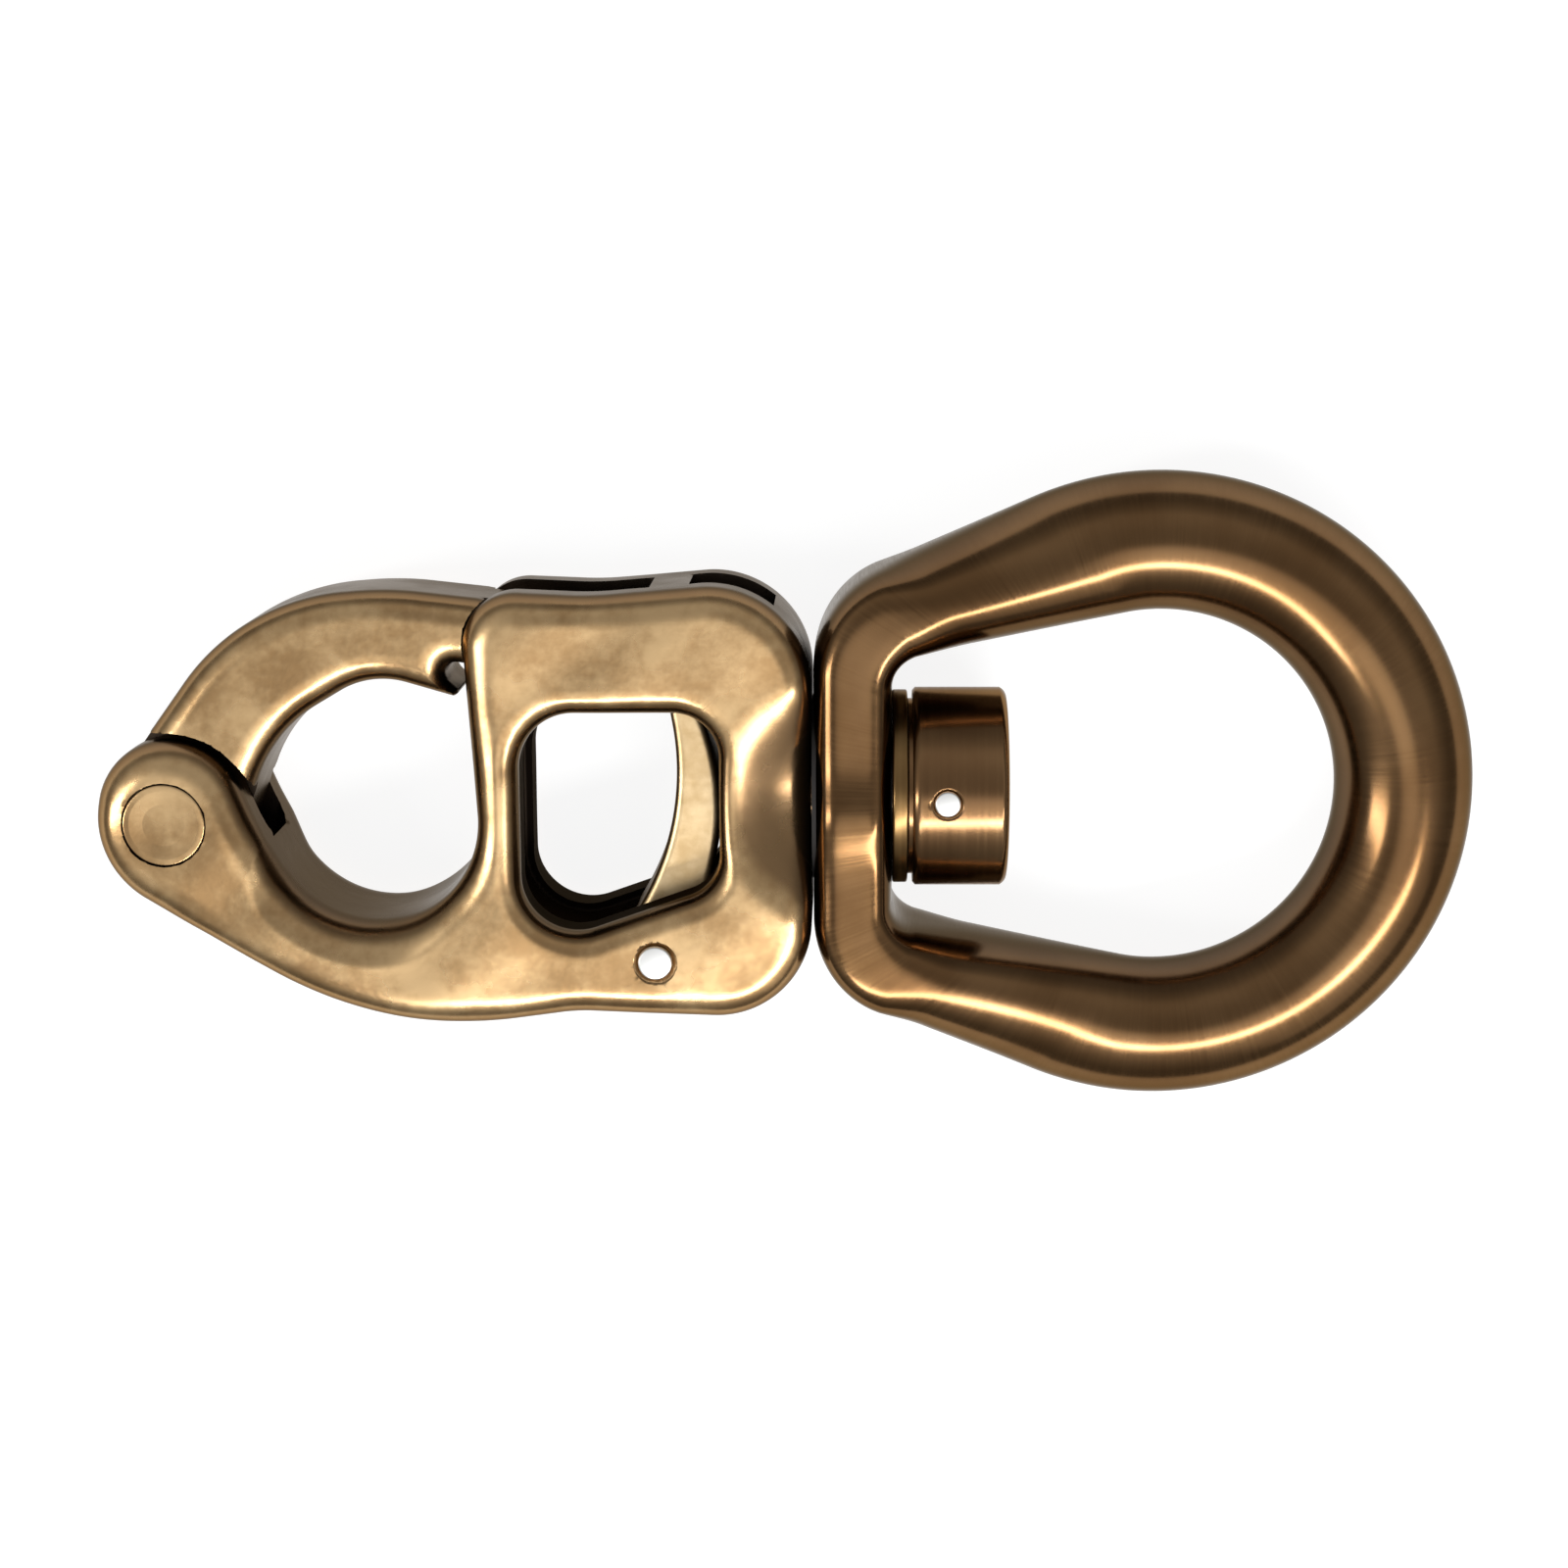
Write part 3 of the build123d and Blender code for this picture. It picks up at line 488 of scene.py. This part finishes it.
# ---------------------------------------------------------------- jaw
# The jaw is the gate of the eye, a casting in the same metal and coating.  It is thick over the eye, and
# has a thin tongue between the ears and a thin tail that runs into the latch slot.
jaw_half = 7.0
jaw_rim = 2.9
jaw_bore = 3.05
jaw_shoulder_radius = 8.35                    # of the thick part's end, which clears the ears
cheek_gap = 0.15
lever_half = 3.8
tail_reach = 45.2
tail_height, tail_root_height = 13.4, 14.8
jaw_back = nose + np.array([20.65, -10.0])
jaw_back_radius = 31.9
jaw_brow_radius = 21.5
jaw_brow_offset = 10.45
jaw_brow_turn = math.radians(100.4)
jaw_plan = Outline([
    (nose[0], nose[1], 6.5),                  # tongue round the pin
    (nose[0] + 21.3, nose[1] - 1.2, -14.0),   # inside of the eye
    (nose[0] + 20.5, nose[1] + 5.2, -8.1),    # its tighter end
    (nose[0] + 27.2, nose[1] + 12.1, 0.4),    # point before the notch
    (nose[0] + 27.55, nose[1] + 13.85, -1.1),     # notch
    (nose[0] + math.sqrt(tail_reach ** 2 - tail_height ** 2), nose[1] + tail_height, 0.8),
    (nose[0] + math.sqrt(tail_reach ** 2 - tail_root_height ** 2), nose[1] + tail_root_height, 0.8),
    (nose[0] + 33.5, nose[1] + 15.65, 5.0),
    (jaw_back[0], jaw_back[1], jaw_back_radius),
    (jaw_back[0] + jaw_brow_offset * math.cos(jaw_brow_turn),
     jaw_back[1] + jaw_brow_offset * math.sin(jaw_brow_turn), jaw_brow_radius)])


def jaw_shape(x, y, z):
    """The jaw: a thick plate clear of the ears and the body, joined to a thin plate of the whole plan."""
    plan = jaw_plan.distance(x, y)
    from_nose = np.hypot(x - nose[0], y - nose[1])
    thick = slab_of(plan, jaw_half, jaw_rim, z)
    thick = within(thick, jaw_shoulder_radius - from_nose, sharp_rim)
    thick = within(thick, cheek_gap - body_plan.distance(x, y), sharp_rim)
    thin = slab_of(plan, lever_half, sharp_rim, z)
    return carved(np.minimum(thick, thin), from_nose - jaw_bore, sharp_rim)


# Within 4.4 mm of the middle, where the tongue and tail lie in the slots, the jaw is painted in shade.
jaw_casting = casting("jaw_casting", jaw_shape, (-69.6, -10.0, -7.6), (-16.6, 20.6, 7.6), 0.3, shaded_below=4.4)
jaw_casting.data.materials.append(light_bronze("light_bronze_jaw"))
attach(jaw_casting, "jaw")
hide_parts("jaw")

# ---------------------------------------------------------------- trigger
# The trigger is a cast lever on a dowel near the lower edge.  A fingertip or a spike in the window
# presses its curved blade, and its hooked head leaves the jaw's tail.
trigger_rim = 0.9
trigger_bore = 1.7
spring_pocket_radius = 4.1
spring_pocket_top = 0.21
hook_face = 46.25                             # of the trigger's head, from the nose
hook_corner = 0.6
trigger_front = np.array([-39.2, 2.25])       # centre of the blade's hollow front
trigger_front_radius = 26.1
front_corner = 0.8


def beside(centre, distance, height):
    """X of the point at this height that lies the given distance to the right of a centre."""
    return centre[0] + math.sqrt(distance ** 2 - (height - centre[1]) ** 2)


trigger_plan = Outline([
    (trigger_pin_centre[0], trigger_pin_centre[1], 3.9),
    (-33.0, -1.5, 24.1),                      # bowed back of the blade
    (-15.6, 15.6, 1.3),                       # top of the head
    (beside(nose, hook_face + 0.65, 16.3), 16.3, hook_corner),
    (nose[0], nose[1], -hook_face),
    (beside(nose, hook_face + 0.65, 9.6), 9.6, hook_corner),
    (beside(trigger_front, trigger_front_radius - 0.75, 8.2), 8.2, -front_corner),
    (trigger_front[0], trigger_front[1], -trigger_front_radius)])


def trigger_shape(x, y, z):
    """The lever's plate with broken edges, less the pin's bore and the spring's pocket at the back."""
    from_pin = np.hypot(x - trigger_pin_centre[0], y - trigger_pin_centre[1])
    shape = slab_of(trigger_plan.distance(x, y), lever_half, trigger_rim, z)
    shape = carved(shape, from_pin - trigger_bore, sharp_rim)
    return carved(shape, np.maximum(from_pin - spring_pocket_radius, z - spring_pocket_top), sharp_rim)


trigger_lever = casting("trigger_lever", trigger_shape, (-20.4, -19.8, -4.2), (-8.6, 17.4, 4.2), 0.22)
trigger_lever.data.materials.append(light_bronze(
    "light_bronze_trigger", (0.58, 0.40, 0.20), (0.80, 0.61, 0.36), 0.34))
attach(trigger_lever, "trigger")
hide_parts("trigger")

# ---------------------------------------------------------------- ring bail
# The bail is one forging under a darker bronze coating: a round ring, drawn in by two tapering legs to a
# broad, squarer base that the swivel shaft passes through.  It was linished across its ring.
ring_x = 33.7
ring_half = 6.7
base_x = 10.65                                # of the centres of the base's corners
base_half = 9.75
base_crown = 0.55                             # how far the base falls away from its crest
base_crest_y = -1.8
bail_outer = Outline([(ring_x, 0.0, 30.9), (base_x, 12.1, 10.5), (base_x, -12.1, 10.5)])
bail_inner = Outline([(ring_x, 0.0, 17.5), (base_x, 10.5, 2.9), (base_x, -10.5, 2.9)])


def around(outline, counts):
    """Points round an outline: the given number of equal steps on each arc and on the line after it."""
    found = []
    arrived = np.roll(outline.end, 1, axis=0)
    runs = zip(outline.discs, outline.start, outline.end, arrived, counts)
    for (cx, cy, r), leave, arrive, before, (arc_steps, line_steps) in runs:
        first = math.atan2(before[1] - cy, before[0] - cx)
        turn = (math.atan2(leave[1] - cy, leave[0] - cx) - first) % (2 * math.pi)
        angle = first + turn * (np.arange(arc_steps) / arc_steps)
        found.append(np.stack([cx + r * np.cos(angle), cy + r * np.sin(angle)], axis=1))
        found.append(leave + (arrive - leave) * (np.arange(line_steps)[:, None] / line_steps))
    return np.concatenate(found)


def bail_surface(around_section=96):
    """The section |u|^n + |v|^n = 1 carried round the ring between its inner and outer outlines.

    Across, u runs from the inner outline to the outer one.  The half height falls from the base's to the
    ring's, and n from 5, nearly square, to 2, an ellipse, along the legs.  The base's top is crowned by a
    bell curve across it.
    """
    counts = [(220, 60), (40, 30), (40, 60)]
    outer, inner = around(bail_outer, counts), around(bail_inner, counts)
    centre, half = (outer + inner) / 2, (outer - inner) / 2
    drawn = eased((centre[:, 0] - 4.5) / 25.5)[:, None]
    height = base_half + (ring_half - base_half) * drawn
    height = height - base_crown * (1 - np.exp(-((centre[:, 1:] - base_crest_y) / 3.2) ** 2)) * (1 - drawn)
    power = 5.0 - 2.6 * eased((centre[:, :1] - 3.0) / 10.0) - 0.4 * eased((centre[:, :1] - 10.0) / 20.0)
    turn = 2 * math.pi * np.arange(around_section)[None, :] / around_section
    c, s = np.cos(turn), np.sin(turn)
    reach = (np.abs(c) ** power + np.abs(s) ** power) ** (-1 / power)
    flat = centre[:, None, :] + half[:, None, :] * (reach * c)[:, :, None]
    return np.concatenate([flat, (height * reach * s)[:, :, None]], axis=2)


def wrapped_quads(rows, columns, close_rows=True):
    """Corner numbers of the quads of a grid that closes on itself across its columns, and its rows too."""
    r, c = np.meshgrid(np.arange(rows if close_rows else rows - 1), np.arange(columns), indexing="ij")
    r1, c1 = (r + 1) % rows, (c + 1) % columns
    corners = [r * columns + c, r1 * columns + c, r1 * columns + c1, r * columns + c1]
    return np.stack(corners, axis=-1).reshape(-1, 4)


bail_points = bail_surface()
ring_bail = mesh_object("ring_bail", bail_points.reshape(-1, 3), wrapped_quads(*bail_points.shape[:2]))


def dark_bronze(name, deep, pale, rough, combed, wall_shade_from=0.9, comb=0.012):
    """Dark bronze coating, combed by fine polishing lines that the function combed gives.

    Below the given edge level it is painted darker towards the walls, a painted shade by how far each
    corner faces upwards.  The comb is the depth of the lines.
    """
    finish, pen, place = new_finish(name)
    clouds = pen.made("ShaderNodeTexNoise", {}, {"Vector": place, "Scale": 90.0, "Detail": 4.0})
    lines = combed(pen, place)
    level = pen.made("ShaderNodeAttribute", {"attribute_name": "level"}, {}, output="Fac")
    face = (clouds * 0.8 + lines * 0.2).ranged(0.35, 0.65).toned(deep, pale)
    # Painted shade: darker towards the walls, by how far each corner faces upwards.
    colour = level.ranged(0.0, wall_shade_from).toned((0.070, 0.054, 0.042), face)
    skin = pen.made("ShaderNodeBump", {}, {"Strength": comb, "Distance": 0.0002, "Height": lines})
    sheen = lines.ranged(0.3, 0.7, rough - 0.02, rough + 0.03)
    return metal(finish, pen, {"Base Color": colour, "Roughness": sheen, "Normal": skin})


def combed_round_ring(pen, place):
    """Lines that run across the ring: noise over the angle about its centre, drawn out along the radius."""
    x, y, z = place.parts()
    angle = pen.maths("ARCTAN2", y, x - (ring_x + shoulder[0]) * mm)
    where = pen.made("ShaderNodeCombineXYZ", {}, {0: angle * 60.0, 1: z * 60.0, 2: (x + y) * 30.0})
    return pen.made("ShaderNodeTexNoise", {}, {"Vector": where, "Scale": 3.0, "Detail": 3.0})


ring_bail.data.materials.append(dark_bronze(
    "dark_bronze_bail", (0.160, 0.085, 0.036), (0.220, 0.124, 0.056), 0.19, combed_round_ring))
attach(ring_bail, "bail")
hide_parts("bail")

# ---------------------------------------------------------------- swivel nut, washer and bush
# The round nut is turned, screwed on the shaft and pinned.  A turned thrust washer lies between it and
# the bail's base, and the flange of the bail's plain bearing shows as a dark line at the shoulder.
nut_start = 9.3
nut_radius = 9.7
nut_bore = 5.0
nut_recess_radius = 7.0
washer_start = 7.8
washer_end = washer_start + 1.45
washer_radius = 9.45
washer_bore = 5.26
lock_pin_x = 13.0
lock_pin_radius = 1.25
dimple_depth = 0.35                           # of the wall round the lock pin, which lets its ends show


def rounded_profile(corners, steps=6):
    """Points along a half section whose corners (along, radius, r) are rounded by arcs of radius r.

    Each arc swings between the two tangent points about its centre, at even angles.
    """
    found = []
    for index, (x, y, r) in enumerate(corners):
        here = np.array([x, y])
        if r == 0:
            found.append(here[None, :])
            continue
        before = np.array(corners[index - 1][:2]) - here
        after = np.array(corners[index + 1][:2]) - here
        before, after = before / np.hypot(*before), after / np.hypot(*after)
        half = math.acos(float(np.clip(before @ after, -1, 1))) / 2
        cut = r / math.tan(half)
        t = np.linspace(0, 1, steps)[:, None]
        a, b = here + before * cut, here + after * cut
        bisector = (before + after) / np.hypot(*(before + after))
        middle = here + bisector * (r / math.sin(half))
        spin_a, spin_b = a - middle, b - middle
        sweep = math.pi - 2 * half
        swung = np.sin((1 - t) * sweep) * spin_a + np.sin(t * sweep) * spin_b
        found.append(middle + swung / math.sin(sweep))
    return np.concatenate(found)


def turned_surface(profile, turns):
    """The half section (along, radius) carried round the swivel's axis, at the given turns."""
    c, s = np.cos(turns), np.sin(turns)
    return np.stack([np.broadcast_to(profile[:, :1], (len(profile), len(turns))),
                     profile[:, 1:] * c, profile[:, 1:] * s], axis=2)


def crowded(low, high, step, centre, width, fine):
    """Places from low to high a step apart, and a fine step apart within width of the centre."""
    places = [low]
    while places[-1] < high:
        places.append(places[-1] + (fine if abs(places[-1] - centre) < width else step))
    return np.array(places[:-1] + [high])


def turned_metal(name, deep, pale, rough):
    """Dark bronze with lathe lines: noise over the place along the axis and the radius."""
    def combed(pen, place):
        """Fine rings round the swivel's axis."""
        x, y, z = place.parts()
        middle = z - shoulder[2] * mm
        radius = pen.maths("SQRT", y * y + middle * middle)
        where = pen.made("ShaderNodeCombineXYZ", {}, {0: x * 2200.0, 1: radius * 2200.0, 2: y * 20.0})
        return pen.made("ShaderNodeTexNoise", {}, {"Vector": where, "Scale": 1.0, "Detail": 3.0})
    return dark_bronze(name, deep, pale, rough, combed, 0.01, 0.015)


nut_bands = rounded_profile([
    (nut_start, nut_bore, 0), (nut_start, 8.6, 0.05), (nut_start + 0.45, 8.6, 0.05),
    (nut_start + 0.45, 9.4, 0.05), (nut_start + 0.75, nut_radius, 0.1),
    (nut_end, nut_radius, 0.9), (nut_end, nut_recess_radius, 0.25),
    (shaft_end, nut_recess_radius, 0.1), (shaft_end, shaft_radius, 0)])
wall = (nut_bands[:, 1] > nut_radius - 0.05) & (nut_bands[:, 0] < nut_end - 0.5)
first_wall, last_wall = np.flatnonzero(wall)[[0, -1]]
wall_x = crowded(nut_bands[first_wall, 0], nut_bands[last_wall, 0], 0.5, lock_pin_x, 1.7, 0.08)
wall_band = np.stack([wall_x, np.full(len(wall_x), nut_radius)], axis=1)
nut_profile = np.concatenate([nut_bands[:first_wall], wall_band, nut_bands[last_wall + 1:]])
quarter = crowded(-math.pi / 2, math.pi / 2, math.radians(2.5), 0.0, math.radians(11), math.radians(0.5))[:-1]
nut_turns = np.concatenate([quarter + math.pi / 2, quarter + 3 * math.pi / 2])
nut_points = turned_surface(nut_profile, nut_turns)
from_lock_pin = np.hypot(nut_points[..., 0] - lock_pin_x, nut_points[..., 1])
from_axis = np.hypot(nut_points[..., 1], nut_points[..., 2])
dimple = dimple_depth * (1 - eased((from_lock_pin - lock_pin_radius) / 0.3))
nut_points[..., 1:] *= (1 - np.where(from_axis > nut_radius - 0.1, dimple, 0) / from_axis)[..., None]
swivel_nut_skin = mesh_object("swivel_nut_skin", nut_points.reshape(-1, 3),
                              wrapped_quads(*nut_points.shape[:2])[:, ::-1])
swivel_nut_skin.data.materials.append(turned_metal(
    "dark_bronze_nut", (0.22, 0.12, 0.055), (0.29, 0.17, 0.08), 0.20))
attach(swivel_nut_skin, "frame")
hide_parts("swivel_nut")

washer_profile = rounded_profile([
    (washer_start, washer_bore, 0), (washer_start, washer_radius, 0.2),
    (washer_end, washer_radius, 0.2), (washer_end, washer_bore, 0)])
washer_points = turned_surface(washer_profile, np.linspace(0, 2 * math.pi, 240, endpoint=False))
thrust_washer_skin = mesh_object("thrust_washer_skin", washer_points.reshape(-1, 3),
                                 wrapped_quads(*washer_points.shape[:2])[:, ::-1])
thrust_washer_skin.data.materials.append(turned_metal(
    "dark_bronze_washer", (0.2, 0.115, 0.045), (0.34, 0.21, 0.085), 0.28))
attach(thrust_washer_skin, "frame")
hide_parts("thrust_washer")


def plain(name, colour, rough, metallic):
    """A finish that is the same all over."""
    finish, pen, _ = new_finish(name)
    skin = pen.made("ShaderNodeBsdfPrincipled", {}, {
        "Base Color": (*colour, 1.0), "Roughness": rough, "Metallic": metallic})
    pen.made("ShaderNodeOutputMaterial", {}, {"Surface": skin})
    return finish


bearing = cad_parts["swivel_bush"]
bearing.data.materials.clear()
bearing.data.materials.append(plain("dark_bearing", (0.010, 0.008, 0.007), 0.8, 0.0))

# ---------------------------------------------------------------- pins and spring
# The jaw pin has a broad flat head at each end, coated with the castings.  The trigger's dowel and the
# nut's lock pin are bright ground steel, driven in after coating.  The spring hides round the dowel.


def upright(profile, centre, count=160):
    """The half section (height, radius) carried round an upright axis through a point of the plan."""
    turn = np.linspace(0, 2 * math.pi, count, endpoint=False)
    radius = profile[:, 1:]
    return np.stack([centre[0] + radius * np.cos(turn), centre[1] + radius * np.sin(turn),
                     np.broadcast_to(profile[:, :1], (len(profile), count))], axis=2)


def pin_piece(name, profile, centre, finish, node):
    """A turned pin that stands for its CAD node."""
    points = upright(profile, centre)
    quads = wrapped_quads(*points.shape[:2], close_rows=False)[:, ::-1]
    piece = mesh_object(name, points.reshape(-1, 3), quads)
    piece.data.materials.append(finish)
    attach(piece, "frame")
    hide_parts(node)
    return piece


def plain_bar(half, radius):
    """Half section of a round bar from -half to half with broken ends."""
    return rounded_profile([(-half, 0, 0), (-half, radius, 0.2), (half, radius, 0.2), (half, 0, 0)])


head_top = 9.65
head_dish = 0.09
head_radius = 3.95
head_under = 8.01
pin_radius = 3.0
upper_half = [
    (head_top - head_dish, 0, 0), (head_top - head_dish, 2.0, 1.0), (head_top, 3.3, 0.8),
    (head_top, head_radius, 0.2), (head_under, head_radius, 0), (head_under, pin_radius, 0)]
jaw_pin_profile = rounded_profile([(-along, radius, r) for along, radius, r in upper_half] + upper_half[::-1])
pin_piece("jaw_pin_skin", jaw_pin_profile, nose, light_bronze("light_bronze_pin"), "jaw_pin")
bright = plain("bright_steel", (0.66, 0.66, 0.65), 0.36, 1.0)
pin_piece("trigger_dowel", plain_bar(9.7, 1.65), trigger_pin_centre, bright, "trigger_pin")
lock_bar = plain_bar(9.6, lock_pin_radius)
pin_piece("nut_lock_skin", lock_bar, (lock_pin_x, 0.0), bright, "nut_lock_pin")
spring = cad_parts["trigger_spring"]
spring.data.materials.clear()
spring.data.materials.append(plain("spring_wire", (0.5, 0.5, 0.5), 0.3, 1.0))

# ---------------------------------------------------------------- table, light and camera
# A plain pale table in a plain soft studio: a strip lamp close over the near side, a weak square lamp to
# the right and a tall fill far to the left.  The metal mirrors the table as the eye sees it, and the
# table keeps the shackle's shadow.


def pale_table():
    """White floor whose own colour gives the backdrop, and which the metal mirrors as it is seen."""
    finish, pen, _ = new_finish("pale_table")
    seen = pen.maths("MAXIMUM", pen.made("ShaderNodeLightPath", {}, {}, output="Is Camera Ray"),
                     pen.made("ShaderNodeLightPath", {}, {}, output="Is Glossy Ray"))
    cloth = pen.made("ShaderNodeBsdfDiffuse", {}, {"Color": (0.8, 0.8, 0.8, 1.0)})
    glow = pen.made("ShaderNodeEmission", {}, {"Color": (1.0, 1.0, 1.0, 1.0), "Strength": 0.88})
    shadow = pen.made("ShaderNodeBsdfDiffuse", {}, {"Color": (0.25, 0.25, 0.25, 1.0)})
    both = pen.made("ShaderNodeAddShader", {}, {0: shadow, 1: glow})
    mixed = pen.made("ShaderNodeMixShader", {}, {0: seen, 1: cloth, 2: both})
    pen.made("ShaderNodeOutputMaterial", {}, {"Surface": mixed})
    return finish


scene = bpy.context.scene
reach = 6.0
table_mesh = bpy.data.meshes.new("table")
table_mesh.from_pydata(
    [(-reach, -reach, 0), (reach, -reach, 0), (reach, reach, 0), (-reach, reach, 0)], [], [(0, 1, 2, 3)])
table_mesh.materials.append(pale_table())
table = bpy.data.objects.new("table", table_mesh)
scene.collection.objects.link(table)

scene.view_settings.view_transform = "Standard"
world = bpy.data.worlds.new("studio")
scene.world = world
world.use_nodes = True
world.node_tree.nodes.clear()
pen = Shade(world.node_tree)
across, along, height = pen.made("ShaderNodeTexCoord", {}, {}, output="Generated").parts()
greys = [(0.0, 0.30), (0.30, 0.34), (0.52, 0.55), (0.66, 0.85), (0.80, 0.80), (1.0, 0.55)]
dome = pen.made("ShaderNodeValToRGB", {"stops": [(place, (grey,) * 3) for place, grey in greys]}, {0: height})
lobe = (across * 0.04 - along * 0.30 + height * 0.95).ranged(0.94, 0.996, 0.6, 2.5)
air = pen.made("ShaderNodeBackground", {}, {"Color": dome, "Strength": lobe})
backdrop = pen.made("ShaderNodeBackground", {}, {"Color": (1.0, 1.0, 1.0, 1.0), "Strength": 1.0})
seen = pen.made("ShaderNodeLightPath", {}, {}, output="Is Camera Ray")
room = pen.made("ShaderNodeMixShader", {}, {0: seen, 1: air, 2: backdrop})
pen.made("ShaderNodeOutputWorld", {}, {"Surface": room})


def soft_lamp(name, place, towards, width, height, power):
    """A rectangular softbox that faces a point."""
    lamp = bpy.data.lights.new(name, "AREA")
    lamp.shape = "RECTANGLE"
    lamp.size, lamp.size_y, lamp.energy = width, height, power
    piece = bpy.data.objects.new(name, lamp)
    piece.location = place
    piece.rotation_mode = "QUATERNION"
    piece.rotation_quaternion = (Vector(towards) - Vector(place)).to_track_quat("-Z", "Y")
    scene.collection.objects.link(piece)


soft_lamp("strip_light", (0.075, -0.155, 0.27), (0.03, 0, 0.01), 0.32, 0.035, 0.72)
soft_lamp("side_light", (0.36, -0.34, 0.38), (0, 0, 0.01), 0.40, 0.40, 0.2)
soft_lamp("left_fill", (-0.86, -0.13, 0.85), (0, 0, 0.01), 0.17, 0.62, 4.2)

lean = math.radians(11.0)
camera_reach = 0.279
aim = Vector(((shoulder[0] + 4.13) * mm, 0.0, shoulder[2] * mm))
back = Vector((0.0, math.sin(lean), math.cos(lean)))
right = Vector((1.0, 0.0, 0.0))
up = back.cross(right)
lens = bpy.data.cameras.new("camera")
lens.sensor_width = 36.0
lens.lens = 65.29
lens.shift_x = -0.045
lens.shift_y = 0.001
lens.clip_start, lens.clip_end = 0.01, 20.0
camera = bpy.data.objects.new("camera", lens)
turn = Matrix((right, up, back)).transposed()
camera.matrix_world = Matrix.Translation(aim + back * camera_reach) @ turn.to_4x4()
scene.collection.objects.link(camera)
scene.camera = camera
